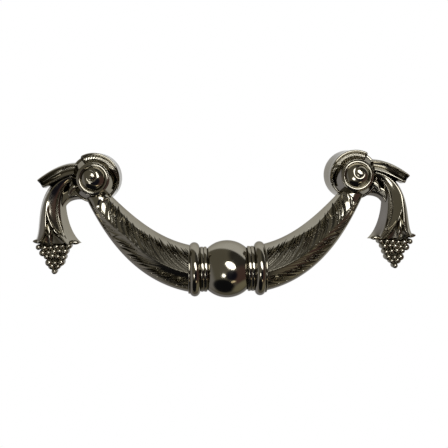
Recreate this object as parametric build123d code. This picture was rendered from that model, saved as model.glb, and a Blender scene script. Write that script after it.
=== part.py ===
"""One-piece cast cabinet handle: a swagged bail hung between two scroll posts.

Everything is drawn on the drawer face as it is seen from the front: x runs to the right, y runs up and
z is the height above the drawer face. The last step stands the drawing upright, so that the drawer face
becomes the plane Y = 0, the front looks toward -Y and +Z is up. The origin lies midway between the two
screw holes. Lengths are in millimetres and angles in degrees.
"""

import os
from math import cos, pi, radians, sin, tan

from build123d import *

# Screw holes
HOLE_SPACING = 96.0
HOLE_RADIUS = 1.65
HOLE_DEPTH = 12.0

# Round posts with their scroll bosses
POST_RADIUS = 9.2
POST_HEIGHT = 15.0
BOSS_RADIUS = 6.1
BOSS_HEIGHT = 22.4
RING_RADIUS = 4.9
RING_WIDTH = 0.6
RING_DEPTH = 0.9
DOME_RADIUS = 4.1
DOME_RISE = 1.9

# Crescent hood round the upper side of each boss
HOOD_RADIUS = 9.4
HOOD_HEIGHT = 18.6
HOOD_LAP = 1.5
HOOD_WALL = 1.5
HOOD_SHIFT = 2.2
HOOD_SHIFT_ANGLE = 255.0
HOOD_END_ANGLE = 56.0
HOOD_SLOPE = 30.0

# Ball and turned collars in the middle of the bail
BALL_RADIUS = 10.5
BALL_DROP = 33.4
BALL_HEIGHT = 21.0
BACK_SHARE = 0.6
NECK_RADIUS = 7.5
BEAD_WIDTH = 1.6
BEAD_RISE = 0.55
COLLAR_WIDTH = 3.4
COLLAR_RADIUS = 9.9
COLLAR_SHOULDER = 0.8

# Arms of the bail, each a horn that swells from its post to its collar
ARM_ROOT_RADIUS = 3.3
ARM_END_RADIUS = 8.45
ARM_SWELL = 1.6
ARM_ROOT_DROP = 3.2
ARM_ROOT_OUTSET = 1.3
ARM_ROOT_HEIGHT = 15.5
ARM_ROOT_SLOPE = 57.0
ARM_END_SLOPE = 10.0
ARM_ROOT_REACH = 19.3
ARM_END_REACH = 16.0
ARM_STATIONS = 27

# Barbs of the feather gouged into the front of each arm
BARB_COUNT = 8
BARB_FIRST_SHARE = 0.33
BARB_LAST_SHARE = 0.9
BARB_LEAN_SHARE = 0.125
BARB_START_ANGLE = 9.0
BARB_END_ANGLE = 62.0
BARB_HALF_ANGLE = 36.0
BARB_REACH = 2.0

# Leaves on the outer side of each post
LEAF_DROP = 24.0
LEAF_BACK = 9.5
LEAF_EDGE = 13.2
LEAF_SHOULDER = 15.6
LEAF_CREST = 17.6
LEAF_HOLLOW = 0.35
LEAF_BULGE = 0.4
LEAF_DRAFT = 0.8
LEAF_WALL_SHARE = 0.18
LEAF_FLARE = 2.0
LEAF_STATIONS = 9
CREST_START_SHARE = 0.5
CREST_SWAY_SHARE = 0.22
SHORT_LEAF_RIM = 16.6
SHORT_LEAF_HOLLOW = 1.1
SHORT_LEAF_STATIONS = 4

# Web between post, arm and leaf, with its small curled lobe
WEB_HEIGHT = 13.6
WEB_DROP = 7.5
WEB_RISE = 2.5
WEB_LEFT = 1.2
WEB_RIGHT = 10.8
WEB_LAP = 3.0
LOBE_LENGTH = 7.5
LOBE_RADIUS = 2.2
LOBE_TIP_RADIUS = 0.8
LOBE_ANGLE = -42.0
LOBE_X = 7.0
LOBE_DROP = 4.3

# Cluster of beads that hangs from the long leaf
GRAPE_RADIUS = 1.06
GRAPE_SIDES = 6
GRAPE_CAP = 0.6
GRAPE_TAPER_ANGLE = 45.0
GRAPE_PITCH = 2.15
GRAPE_ROWS = 6
CLUSTER_CENTRE = 15.4
CLUSTER_GAP = 1.4
CLUSTER_BULGE = 1.2
CLUSTER_HEIGHT = 12.6

HOLE_X = HOLE_SPACING / 2
BALL_END = (BALL_RADIUS**2 - NECK_RADIUS**2) ** 0.5
COLLAR_START = BALL_END + 2 * BEAD_WIDTH
COLLAR_MIDDLE = COLLAR_START + COLLAR_WIDTH / 2
COLLAR_END = COLLAR_START + COLLAR_WIDTH
CLUSTER_DROP = LEAF_DROP + CLUSTER_GAP

# Edges of the leaves in the front view, as control points measured outward and up from the boss
LEAF_TURN = 4.5 - LEAF_DROP
LONG_LEAF_OUTER = ((5, 2.4), (14, 2.6), (21.5, -2.5), (21.6, -13), (20.4, LEAF_TURN), (23, 0.9 - LEAF_DROP))
LONG_LEAF_INNER = ((5, -1), (10, -1), (12.8, -4), (11.2, -12), (10.8, LEAF_TURN), (5.6, -LEAF_DROP))
SHORT_LEAF_UPPER = ((4.5, 5.6), (9.5, 6.8), (15, 4.6), (21.1, 0))
SHORT_LEAF_LOWER = ((4.5, 2.2), (9.5, 2.2), (14, -0.6), (19.5, -4.1))


def scroll_post():
    """Post, boss, ring and dome, turned about the screw axis."""
    ring_foot = BOSS_HEIGHT - RING_DEPTH
    groove = (DOME_RADIUS, ring_foot)
    crown = (0, ring_foot + DOME_RISE)
    side = Polyline(
        crown,
        (0, 0),
        (POST_RADIUS, 0),
        (POST_RADIUS, POST_HEIGHT),
        (BOSS_RADIUS, POST_HEIGHT),
        (BOSS_RADIUS, ring_foot),
        (RING_RADIUS + RING_WIDTH / 2, BOSS_HEIGHT),
        (RING_RADIUS - RING_WIDTH / 2, BOSS_HEIGHT),
        groove,
    )
    dome = TangentArc(crown, groove, tangent=(1, 0))
    return revolve(Plane.XZ * make_face([*side.edges(), dome]), Axis.Z)


def hood():
    """Crescent left between two circles that don't share a centre, sloped inside and cut off at one end."""
    shift, end = radians(HOOD_SHIFT_ANGLE), radians(HOOD_END_ANGLE)
    ring = Pos(0, 0, POST_HEIGHT - HOOD_LAP) * Circle(HOOD_RADIUS)
    mouth = Pos(HOOD_SHIFT * cos(shift), HOOD_SHIFT * sin(shift), HOOD_HEIGHT)
    mouth = mouth * Circle(HOOD_RADIUS - HOOD_WALL)
    hollow = extrude(mouth, POST_HEIGHT - HOOD_HEIGHT, taper=HOOD_SLOPE)
    body = extrude(ring, HOOD_HEIGHT - POST_HEIGHT + HOOD_LAP) - hollow
    return split(body, Plane((0, 0, 0), z_dir=(-sin(end), cos(end), 0)), keep=Keep.TOP)


def centre_turning():
    """Ball with two beads and a collar on each side, turned about a level axis and cut flat behind."""
    bead_top = NECK_RADIUS + BEAD_RISE
    crown_half = COLLAR_WIDTH / 2 - COLLAR_SHOULDER
    ball = TangentArc((0, BALL_RADIUS), (BALL_END, NECK_RADIUS), tangent=(1, 0))
    rest = Polyline(
        (BALL_END, NECK_RADIUS),
        (BALL_END + BEAD_WIDTH / 2, bead_top),
        (BALL_END + BEAD_WIDTH, NECK_RADIUS),
        (COLLAR_START - BEAD_WIDTH / 2, bead_top),
        (COLLAR_START, NECK_RADIUS),
        (COLLAR_MIDDLE - crown_half, COLLAR_RADIUS),
        (COLLAR_MIDDLE + crown_half, COLLAR_RADIUS),
        (COLLAR_END, NECK_RADIUS),
        (COLLAR_END, 0),
        (0, 0),
        (0, BALL_RADIUS),
    )
    half = revolve(make_face([ball, *rest.edges()]), Axis.X)
    whole = Pos(0, -BALL_DROP, BALL_HEIGHT) * (half + mirror(half, about=Plane.YZ))
    back = Plane((0, 0, BALL_HEIGHT - BALL_RADIUS * BACK_SHARE))
    return split(whole, back, keep=Keep.TOP)


def arm_path():
    """Curve of the arm's middle in the front view, from the post to the collar."""
    start = Vector(HOLE_X + ARM_ROOT_OUTSET, -ARM_ROOT_DROP)
    end = Vector(COLLAR_MIDDLE, -BALL_DROP)
    root, tip = radians(ARM_ROOT_SLOPE), radians(ARM_END_SLOPE)
    leave = start - Vector(cos(root), sin(root)) * ARM_ROOT_REACH
    arrive = end + Vector(cos(tip), sin(tip)) * ARM_END_REACH
    return Bezier(start, leave, arrive, end)


def arm_station(path, along):
    """Section plane of the arm, with x to the upper side and y to the back, and the radius there."""
    swell = 1 - (1 - along) ** ARM_SWELL
    radius = ARM_ROOT_RADIUS + (ARM_END_RADIUS - ARM_ROOT_RADIUS) * swell
    height = ARM_ROOT_HEIGHT + (BALL_HEIGHT - ARM_ROOT_HEIGHT) * (1 - cos(along * pi)) / 2
    heading = path % along
    place = Plane(path @ along + Vector(0, 0, height), x_dir=(heading.Y, -heading.X, 0), z_dir=heading)
    return place, radius


def arm_point(path, along, turn):
    """Point on the arm's round front, turned from the foremost line toward the upper side."""
    place, radius = arm_station(path, along)
    return place.from_local_coords(Vector(sin(radians(turn)), -cos(radians(turn))) * radius)


def barb(path, along, side):
    """Wedge whose keel is a chord under the round front, so that its stroke is pointed at both ends."""
    start = arm_point(path, along, side * BARB_START_ANGLE)
    end = arm_point(path, along - BARB_LEAN_SHARE, side * BARB_END_ANGLE)
    keel = end - start
    place, _ = arm_station(path, along - BARB_LEAN_SHARE / 2)
    outward = (start + end) * 0.5 - place.origin
    wedge = Plane(start, x_dir=outward.cross(keel), z_dir=keel)
    half = BARB_REACH * tan(radians(BARB_HALF_ANGLE))
    profile = make_face(Polyline((0, 0), (half, BARB_REACH), (-half, BARB_REACH), close=True))
    return extrude(wedge * profile, keel.length)


def arm():
    """Horn lofted from the post to the collar, flat behind, with a feather of barbs on its front."""
    path = arm_path()
    sections = []
    for station in range(ARM_STATIONS):
        place, radius = arm_station(path, station / (ARM_STATIONS - 1))
        flat = radius * BACK_SHARE
        half = (radius**2 - flat**2) ** 0.5
        front = ThreePointArc((-half, flat), (0, -radius), (half, flat))
        sections.append(place * make_face([front, Line((half, flat), (-half, flat))]))
    horn = loft(sections, ruled=True)
    step = (BARB_LAST_SHARE - BARB_FIRST_SHARE) / (BARB_COUNT - 1)
    stems = [BARB_FIRST_SHARE + step * count for count in range(BARB_COUNT)]
    barbs = [barb(path, stem, side) for stem in stems for side in (1, -1)]
    return horn - barbs


def leaf(inner_controls, outer_controls, stations, profile):
    """Leaf lofted through sections that stand between its two edges in the front view."""
    inner_edge, outer_edge = Bezier(*inner_controls), Bezier(*outer_controls)
    sections = []
    for station in range(stations):
        along = station / (stations - 1)
        across = outer_edge @ along - inner_edge @ along
        place = Plane(inner_edge @ along, x_dir=across, z_dir=(across.Y, -across.X, 0))
        sections.append(place * make_face(profile(across.length, along)))
    return loft(sections, ruled=True)


def long_leaf_profile(width, along):
    """Section with a hollow outer face and a bulging inner face that meet in a crest, and drafted sides."""
    edge = LEAF_EDGE + LEAF_FLARE * along**4
    crest = width * (CREST_START_SHARE + CREST_SWAY_SHARE * sin(pi * along))
    hollow = (edge + LEAF_CREST) / 2 - LEAF_HOLLOW
    bulge = (LEAF_SHOULDER + LEAF_CREST) / 2 + LEAF_BULGE
    inner, outer = width * LEAF_WALL_SHARE, width - LEAF_DRAFT
    return [
        Line((0, LEAF_BACK), (width, LEAF_BACK)),
        Line((width, LEAF_BACK), (outer, edge)),
        ThreePointArc((outer, edge), ((outer + crest) / 2, hollow), (crest, LEAF_CREST)),
        ThreePointArc((crest, LEAF_CREST), ((inner + crest) / 2, bulge), (inner, LEAF_SHOULDER)),
        Line((inner, LEAF_SHOULDER), (0, LEAF_BACK)),
    ]


def short_leaf_profile(width, along):
    """Section with one hollow face between two rims."""
    floor = SHORT_LEAF_RIM - SHORT_LEAF_HOLLOW * (0.5 + 0.5 * along)
    return [
        Line((0, LEAF_BACK), (width, LEAF_BACK)),
        Line((width, LEAF_BACK), (width, SHORT_LEAF_RIM)),
        ThreePointArc((width, SHORT_LEAF_RIM), (width / 2, floor), (0, SHORT_LEAF_RIM)),
        Line((0, SHORT_LEAF_RIM), (0, LEAF_BACK)),
    ]


def web():
    """Plate that joins post, arm and leaf, arched on its lower edge, with a curled lobe on it."""
    foot = -WEB_DROP - WEB_RISE
    arch = ThreePointArc((WEB_LEFT, foot), ((WEB_LEFT + WEB_RIGHT) / 2, -WEB_DROP), (WEB_RIGHT, foot))
    rest = Polyline(
        (WEB_RIGHT, foot),
        (WEB_RIGHT + WEB_LAP, foot),
        (WEB_RIGHT + WEB_LAP, -LOBE_DROP),
        (LOBE_X, 0),
        (WEB_LEFT - WEB_LAP, 0),
        (WEB_LEFT - WEB_LAP, foot),
        (WEB_LEFT, foot),
    )
    plate = extrude(Pos(0, 0, LEAF_BACK) * make_face([arch, *rest.edges()]), WEB_HEIGHT - LEAF_BACK)
    lobe = Rot(0, 90, 0) * Cone(LOBE_RADIUS, LOBE_TIP_RADIUS, LOBE_LENGTH)
    return plate + Pos(LOBE_X, -LOBE_DROP, WEB_HEIGHT) * Rot(0, 0, LOBE_ANGLE) * lobe


def grape(height):
    """Bead in facets, with a sloped cap on a straight stem."""
    stem = RegularPolygon(GRAPE_RADIUS, GRAPE_SIDES)
    cap = extrude(Pos(0, 0, height) * stem, GRAPE_CAP, taper=GRAPE_TAPER_ANGLE)
    return extrude(Pos(0, 0, LEAF_BACK) * stem, height - LEAF_BACK) + cap


def cluster():
    """Rows of beads, one fewer in each row, on a tapered core."""
    row_drop = GRAPE_PITCH * cos(pi / 6)
    half_top = GRAPE_PITCH * (GRAPE_ROWS - 1) / 2
    shoulder = CLUSTER_DROP - 2 * GRAPE_PITCH
    outline = Polyline(
        (CLUSTER_CENTRE - half_top, -shoulder),
        (CLUSTER_CENTRE + half_top, -shoulder),
        (CLUSTER_CENTRE + half_top, -CLUSTER_DROP),
        (CLUSTER_CENTRE, -CLUSTER_DROP - row_drop * (GRAPE_ROWS - 1)),
        (CLUSTER_CENTRE - half_top, -CLUSTER_DROP),
        close=True,
    )
    core = extrude(Pos(0, 0, LEAF_BACK) * make_face(outline), CLUSTER_HEIGHT - LEAF_BACK)
    beads = []
    for row in range(GRAPE_ROWS):
        count = GRAPE_ROWS - row
        for place in range(count):
            aside = (place - (count - 1) / 2) * GRAPE_PITCH
            bulge = CLUSTER_BULGE * cos(aside / half_top) * cos(row / GRAPE_ROWS)
            seat = Pos(CLUSTER_CENTRE + aside, -CLUSTER_DROP - row * row_drop, 0)
            beads.append(seat * grape(CLUSTER_HEIGHT + bulge))
    return core + beads


def screw_hole():
    """Blind hole from the drawer face."""
    return extrude(Circle(HOLE_RADIUS), HOLE_DEPTH)


def handle():
    """Whole casting, stood upright."""
    long_leaf = leaf(LONG_LEAF_INNER, LONG_LEAF_OUTER, LEAF_STATIONS, long_leaf_profile)
    short_leaf = leaf(SHORT_LEAF_LOWER, SHORT_LEAF_UPPER, SHORT_LEAF_STATIONS, short_leaf_profile)
    bracket = scroll_post() + [hood(), long_leaf, short_leaf, web(), cluster()] - screw_hole()
    side = Pos(HOLE_X, 0, 0) * bracket + arm()
    return Rot(90, 0, 0) * (centre_turning() + [side, mirror(side, about=Plane.YZ)])


os.makedirs("parts", exist_ok=True)
export_step(handle(), "parts/handle.step")
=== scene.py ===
"""Looks of a cast cabinet handle: a swagged bail hung between two scroll posts, in polished black nickel.

Sizes are millimetres on the drawing axes: x to the right, y up and z out from the drawer front. The function
stand turns them into the frame's metres, where the drawer front is the plane Y = 0 and the front looks toward
-Y. Each piece is a closed surface of rings, worked out as whole arrays for the right half and mirrored for
the left.
"""

import logging
from dataclasses import dataclass
from enum import Enum
from math import comb, log, pi, radians, tan
from typing import Any, Sequence

import bmesh
import bpy
import numpy as np
from mathutils import Matrix, Quaternion, Vector


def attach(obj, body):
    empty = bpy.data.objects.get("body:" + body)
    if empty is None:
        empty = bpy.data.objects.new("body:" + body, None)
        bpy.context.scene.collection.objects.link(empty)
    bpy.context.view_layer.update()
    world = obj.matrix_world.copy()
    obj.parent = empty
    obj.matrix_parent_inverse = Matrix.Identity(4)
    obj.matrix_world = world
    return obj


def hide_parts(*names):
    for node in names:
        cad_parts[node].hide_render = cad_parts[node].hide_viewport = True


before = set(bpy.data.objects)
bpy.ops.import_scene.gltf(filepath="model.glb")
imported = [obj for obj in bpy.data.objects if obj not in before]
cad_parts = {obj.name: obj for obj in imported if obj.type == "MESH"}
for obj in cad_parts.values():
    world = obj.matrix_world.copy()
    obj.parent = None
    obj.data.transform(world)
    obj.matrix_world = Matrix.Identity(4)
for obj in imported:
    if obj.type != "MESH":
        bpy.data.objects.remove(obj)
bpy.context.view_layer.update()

Array = np.ndarray
Span = tuple[float, float]
Points = tuple[tuple[float, float], ...]
LOG = logging.getLogger("handle")
MM = 0.001

# Places that several pieces share
POST_X = 48.0
LEAF_BACK = 9.5
BALL_DROP = 33.4
BALL_HEIGHT = 21.0
BACK_SHARE = 0.6
SHARP_ANGLE = radians(42)

# Share of the painted shade that the bottom of a groove takes, and what keeps a division from zero
GROOVE_PAINTED_SHADE = 0.5
TINY = 1e-6


class Side(Enum):
    """Half of the handle, with the sign of its x."""

    LEFT = -1
    RIGHT = 1


class Slot(Enum):
    """Material slot of the record for the handle's finish; no piece here is given it."""

    BLACK_NICKEL = "black_nickel"


def stand(points: Array) -> Array:
    """Stands the drawing upright: (x, y, z) in millimetres becomes (x, -z, y) in metres."""
    return np.stack([points[..., 0], -points[..., 2], points[..., 1]], axis=-1) * MM


def linear_colour(code: str) -> tuple[float, float, float, float]:
    """Turns an sRGB hex code into linear colour.

    Args:
        code: Six hex digits after a hash sign.

    Returns:
        Red, green and blue in linear light, and full alpha.
    """
    levels = np.array([int(code[place:place + 2], 16) for place in (1, 3, 5)]) / 255
    linear = np.where(levels <= 0.04045, levels / 12.92, ((levels + 0.055) / 1.055) ** 2.4)
    return (float(linear[0]), float(linear[1]), float(linear[2]), 1.0)


def ramp(value: Array, low: Array | float, high: Array | float) -> Array:
    """Rises from 0 at low to 1 at high in a straight line."""
    return np.clip((value - low) / (high - low), 0, 1)


def smooth_step(value: Array, low: float, high: float) -> Array:
    """Rises from 0 at low to 1 at high along the cubic 3t² - 2t³."""
    share = ramp(value, low, high)
    return share * share * (3 - 2 * share)


def blend(first: Array | float, last: Array | float, share: Array) -> Array:
    """Goes from the first value to the last by a share: a + (b - a) t."""
    return first + (last - first) * share


def scatter(number: Array, row: Array) -> Array:
    """Share from 0 to 1 that looks drawn by lot: the fraction of a large multiple of a sine."""
    return np.mod(np.sin(12.9898 * number + 4.1 * row) * 437.585, 1)


def soft_max(first: Array, second: Array, rounding: float) -> Array:
    """The larger of two values, with the corner between them rounded: half of a + b + sqrt((a - b)² + k²)."""
    return (first + second + np.sqrt((first - second) ** 2 + rounding**2)) / 2


def bump(value: Array, centre: float, width: float) -> Array:
    """Bell curve of height 1 about a centre: exp of minus the squared distance in widths."""
    return np.exp(-(((value - centre) / width) ** 2))


def bezier(controls: Sequence[Sequence[float]], along: Array) -> Array:
    """Points of a Bezier curve, spaced by length.

    The controls are weighted by Bernstein's polynomials. A fine polyline's running length then says which
    parameter lies at each share of the curve's length.

    Args:
        controls: Control points in the front view.
        along: Shares of the length, from 0 to 1.

    Returns:
        One point in the plane for each share.
    """
    poles = np.asarray(controls, float)
    orders = np.arange(len(poles))
    binomials = np.array([comb(len(poles) - 1, order) for order in orders])

    def at(parameter: Array) -> Array:
        """Points at the curve's own parameter."""
        t = parameter[:, None]
        return (binomials * t**orders * (1 - t) ** orders[::-1]) @ poles

    fine = np.linspace(0, 1, 600)
    steps = np.linalg.norm(np.diff(at(fine), axis=0), axis=1)
    run = np.concatenate([[0], np.cumsum(steps)])
    return at(np.interp(along, run / run[-1], fine))


def stretch(start: Sequence[float], end: Sequence[float], count: int) -> Array:
    """Evenly spaced points from start up to, but not onto, end."""
    return np.linspace(start, end, count, endpoint=False)


def corner(centre: Sequence[float], radius: float, first: float, last: float, count: int) -> Array:
    """Points on a circular arc, its angles in degrees, up to but not onto the last angle."""
    angle = np.radians(np.linspace(first, last, count, endpoint=False))
    return np.stack([centre[0] + radius * np.cos(angle), centre[1] + radius * np.sin(angle)], axis=-1)


def d_section(radius: Array, turn: Array, flat: Array, rounding: float) -> tuple[Array, Array]:
    """Round front with a flat back, its two edges rounded.

    Args:
        radius: Radius of the round front.
        turn: Angle from the foremost line.
        flat: Distance of the flat behind the middle.
        rounding: How softly the flat meets the round.

    Returns:
        The offset to the side and the offset to the front.
    """
    return radius * np.sin(turn), soft_max(radius * np.cos(turn), -flat, rounding)


@dataclass
class Shell:
    """Closed surface: points, the painted shade and dulling of each, and its faces of four and of three
    corners.
    """

    points: Array
    painted_shade_and_dulling: Array
    quads: Array
    triangles: Array

    @classmethod
    def tube(cls, rings: Array, painted_shade_and_dulling: Array | None = None) -> "Shell":
        """Closes a grid of rings round its second axis, and each end by a fan about the end ring's middle.

        Args:
            rings: Points in the order station, place round the ring, coordinate.
            painted_shade_and_dulling: How much painted shade and dulling each point takes, from 0 to 1.

        Returns:
            The closed surface.
        """
        count, around, _ = rings.shape
        index = np.arange(count * around).reshape(count, around)
        ahead = np.roll(index, -1, axis=1)
        quads = np.stack([index[:-1], ahead[:-1], ahead[1:], index[1:]], axis=-1).reshape(-1, 4)
        hubs = rings[[0, -1]].mean(axis=1)
        first = np.full(around, count * around)
        fans = [
            np.stack([ahead[0], index[0], first], axis=-1),
            np.stack([index[-1], ahead[-1], first + 1], axis=-1),
        ]
        depth = np.zeros(count * around) if painted_shade_and_dulling is None else np.clip(painted_shade_and_dulling, 0, 1).ravel()
        return cls(
            np.concatenate([rings.reshape(-1, 3), hubs]),
            np.concatenate([depth, [0, 0]]),
            quads,
            np.concatenate(fans),
        )

    @classmethod
    def joined(cls, shells: Sequence["Shell"]) -> "Shell":
        """Puts several shells into one, each with its own points."""
        starts = np.cumsum([0] + [len(shell.points) for shell in shells])
        return cls(
            np.concatenate([shell.points for shell in shells]),
            np.concatenate([shell.painted_shade_and_dulling for shell in shells]),
            np.concatenate([shell.quads + start for shell, start in zip(shells, starts)]),
            np.concatenate([shell.triangles + start for shell, start in zip(shells, starts)]),
        )

    def moved(self, offset: Sequence[float]) -> "Shell":
        """The same shell, moved by an offset."""
        return Shell(self.points + np.asarray(offset), self.painted_shade_and_dulling, self.quads, self.triangles)


def add_node(
    tree: bpy.types.NodeTree,
    kind: str,
    settings: dict[str, Any] | None = None,
    inputs: dict[str | int, Any] | None = None,
) -> bpy.types.Node:
    """Adds a node with its settings and links.

    Args:
        tree: Node tree of a material or of the world.
        kind: Blender's name of the node's type.
        settings: Properties of the node.
        inputs: Input sockets by name or number, each with a value or with the output that feeds it.

    Returns:
        The new node.
    """
    node = tree.nodes.new(kind)
    for name, value in (settings or {}).items():
        setattr(node, name, value)
    for name, value in (inputs or {}).items():
        if isinstance(value, bpy.types.NodeSocket):
            tree.links.new(value, node.inputs[name])
        else:
            node.inputs[name].default_value = value
    return node


@dataclass(frozen=True)
class BlackNickel:
    """Black nickel plated on a polished zinc casting.

    The plating is a warm grey mirror that stays grey where it is seen at a slant. Its polish is a little
    uneven, with soft ripples left by the mould. In cuts, grooves and gaps it is duller, and there its colour
    is darkened toward a dark tone as painted shade.
    """

    bright: str = "#9c988c"
    tinted: str = "#8d887a"
    # Dark tone of the painted shade in cuts, grooves and gaps
    shade_colour: str = "#3b382f"
    slant: str = "#bab8b4"
    polish: float = 0.07
    haze: float = 0.15
    dull: float = 0.4
    tint_width: float = 7.0
    haze_width: float = 2.5
    haze_start: float = 0.35
    haze_full: float = 0.7
    ripple_width: float = 2.2
    ripple_height: float = 0.01
    ripple_strength: float = 0.5

    def material(self) -> bpy.types.Material:
        """Builds the node material, with every pattern on the object's own coordinates in metres."""
        material = bpy.data.materials.new("polished_black_nickel")
        material.use_nodes = True
        tree = material.node_tree
        tree.nodes.clear()
        place = add_node(tree, "ShaderNodeTexCoord").outputs["Object"]
        painted_shade_and_dulling = add_node(tree, "ShaderNodeAttribute", {"attribute_name": "painted_shade_and_dulling"}).outputs["Fac"]
        widths = (self.tint_width, self.haze_width, self.ripple_width)
        patches, smears, ripples = (
            add_node(
                tree,
                "ShaderNodeTexNoise",
                inputs={"Vector": place, "Scale": 1 / (width * MM), "Detail": 2.0},
            ).outputs[0]
            for width in widths
        )
        plating = add_node(
            tree,
            "ShaderNodeMix",
            {"data_type": "RGBA"},
            {0: patches, 6: linear_colour(self.bright), 7: linear_colour(self.tinted)},
        ).outputs[2]
        # Painted shade: the plating's colour is darkened toward the shade tone wherever the shade attribute is
        # high
        colour = add_node(
            tree, "ShaderNodeMix", {"data_type": "RGBA"}, {0: painted_shade_and_dulling, 6: plating, 7: linear_colour(self.shade_colour)}
        ).outputs[2]
        buffed = add_node(
            tree,
            "ShaderNodeMapRange",
            inputs={0: smears, 1: self.haze_start, 2: self.haze_full, 3: self.polish, 4: self.haze},
        ).outputs[0]
        rough = add_node(tree, "ShaderNodeMix", inputs={0: painted_shade_and_dulling, 2: buffed, 3: self.dull}).outputs[0]
        normal = add_node(
            tree,
            "ShaderNodeBump",
            inputs={
                "Strength": self.ripple_strength,
                "Distance": self.ripple_height * MM,
                "Height": ripples,
            },
        ).outputs[0]
        metal = add_node(
            tree,
            "ShaderNodeBsdfPrincipled",
            inputs={
                "Base Color": colour,
                "Metallic": 1.0,
                "Roughness": rough,
                "Specular Tint": linear_colour(self.slant),
                "Normal": normal,
            },
        ).outputs[0]
        add_node(tree, "ShaderNodeOutputMaterial", inputs={"Surface": metal})
        return material


class Foundry:
    """Turns shells into pieces of the handle and keeps their finish."""

    def __init__(self, finish: BlackNickel) -> None:
        """Makes the one material that all pieces share."""
        self.metal = finish.material()

    def cast(self, name: str, shell: Shell, side: Side = Side.RIGHT) -> None:
        """Makes one piece, in place in the frame, riding on the handle's body in place of its solid.

        Args:
            name: Name of the piece.
            shell: Closed surface on the drawing axes, drawn for the right half.
            side: Half in which the piece lies.
        """
        mesh = bpy.data.meshes.new(name)
        points = stand(shell.points * (side.value, 1, 1))
        mesh.from_pydata(points.tolist(), [], shell.quads.tolist() + shell.triangles.tolist())
        # Painted shade and dulling of each point, which the material reads
        shade_layer = mesh.attributes.new("painted_shade_and_dulling", "FLOAT", "POINT")
        shade_layer.data.foreach_set("value", shell.painted_shade_and_dulling.astype(np.float32))
        work = bmesh.new()
        work.from_mesh(mesh)
        bmesh.ops.recalc_face_normals(work, faces=work.faces)
        work.to_mesh(mesh)
        work.free()
        mesh.polygons.foreach_set("use_smooth", np.ones(len(mesh.polygons), bool))
        mesh.set_sharp_from_angle(angle=SHARP_ANGLE)
        mesh.materials.append(self.metal)
        piece = bpy.data.objects.new(name, mesh)
        bpy.context.scene.collection.objects.link(piece)
        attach(piece, "root")
        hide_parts("handle")
        LOG.info("%s: %d faces", name, len(mesh.polygons))

    def cast_pair(self, name: str, shell: Shell) -> None:
        """Makes the piece of each half, named for its side."""
        for side in Side:
            self.cast(f"{name}_{side.name.lower()}", shell, side)


@dataclass
class BallAndCollars:
    """Ball in the middle of the bail, with two rings and a collar on each side."""

    ball_radius: float = 10.48
    neck_radius: float = 7.5
    ring_width: float = 1.25
    ring_rise: float = 0.75
    ring_fullness: float = 4.0
    collar_width: float = 4.1
    collar_radius: float = 9.9
    collar_fullness: float = 2.1
    flange_width: float = 0.9
    flange_radius: float = 8.9
    flange_fullness: float = 3.0
    edge_rounding: float = 0.5
    groove_height: float = 0.3
    ball_points: int = 40
    ring_points: int = 20
    collar_points: int = 40
    collar_hidden: int = 7
    flange_points: int = 16
    flange_hidden: int = 5
    around: int = 144

    @property
    def ball_end(self) -> float:
        """Distance from the middle at which the ball meets its neck."""
        return (self.ball_radius**2 - self.neck_radius**2) ** 0.5

    @property
    def collar_start(self) -> float:
        """Distance from the middle at which the rings end and the collar starts."""
        return self.ball_end + 2 * self.ring_width

    @property
    def collar_middle(self) -> float:
        """Distance from the middle at which the collar is thickest."""
        return self.collar_start + self.collar_width / 2

    def swelling(self, start: float, width: float, top: float, fullness: float, count: int) -> Array:
        """Half of a superellipse on the neck: |x|^n + |y|^n = 1, stretched to the width and the top radius."""
        angle = np.linspace(0, pi, count)
        lift = np.abs(np.sin(angle)) ** (2 / fullness)
        run = np.sign(np.cos(angle)) * np.abs(np.cos(angle)) ** (2 / fullness)
        rise = top - self.neck_radius
        return np.stack([start + width / 2 * (1 - run), self.neck_radius + rise * lift], axis=-1)

    def profile(self) -> Array:
        """Axis place and radius of every station, from the left end to the right end."""
        tilt = np.linspace(0, np.arcsin(self.ball_end / self.ball_radius), self.ball_points)
        ball = self.ball_radius * np.stack([np.sin(tilt), np.cos(tilt)], axis=-1)
        ring_top = self.neck_radius + self.ring_rise
        inner_ring = self.swelling(
            self.ball_end, self.ring_width, ring_top, self.ring_fullness, self.ring_points
        )
        outer_ring = inner_ring + (self.ring_width, 0)
        collar = self.swelling(
            self.collar_start, self.collar_width, self.collar_radius, self.collar_fullness, self.collar_points
        )
        flange_start = self.collar_start + self.collar_width - self.flange_width / 2
        flange = self.swelling(
            flange_start, self.flange_width, self.flange_radius, self.flange_fullness, self.flange_points
        )
        # The flange takes over before the collar comes down to the neck
        ending = [collar[1:-self.collar_hidden], flange[self.flange_hidden:]]
        half = np.concatenate([ball[1:], inner_ring[1:], outer_ring[1:], *ending])
        return np.concatenate([half[::-1] * (-1, 1), ball[:1], half])

    def shell(self) -> Shell:
        """Turns the profile about a level axis, with the flat back of the casting."""
        station, radius = self.profile().T
        turn = np.linspace(0, 2 * pi, self.around, endpoint=False)
        flat = np.full_like(radius, self.ball_radius * BACK_SHARE)[:, None]
        aside, forward = d_section(radius[:, None], turn, flat, self.edge_rounding)
        across = np.broadcast_to(station[:, None], aside.shape)
        rings = np.stack([across, aside - BALL_DROP, forward + BALL_HEIGHT], axis=-1)
        # Painted shade: the neck between the rings and the collar is darkened
        groove = 1 - smooth_step(radius, self.neck_radius, self.neck_radius + self.groove_height)
        return Shell.tube(rings, np.broadcast_to(groove[:, None], aside.shape))

    def build(self, foundry: Foundry) -> None:
        """Casts the whole turning as one piece."""
        foundry.cast("centre_ball_and_collars", self.shell())


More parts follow.
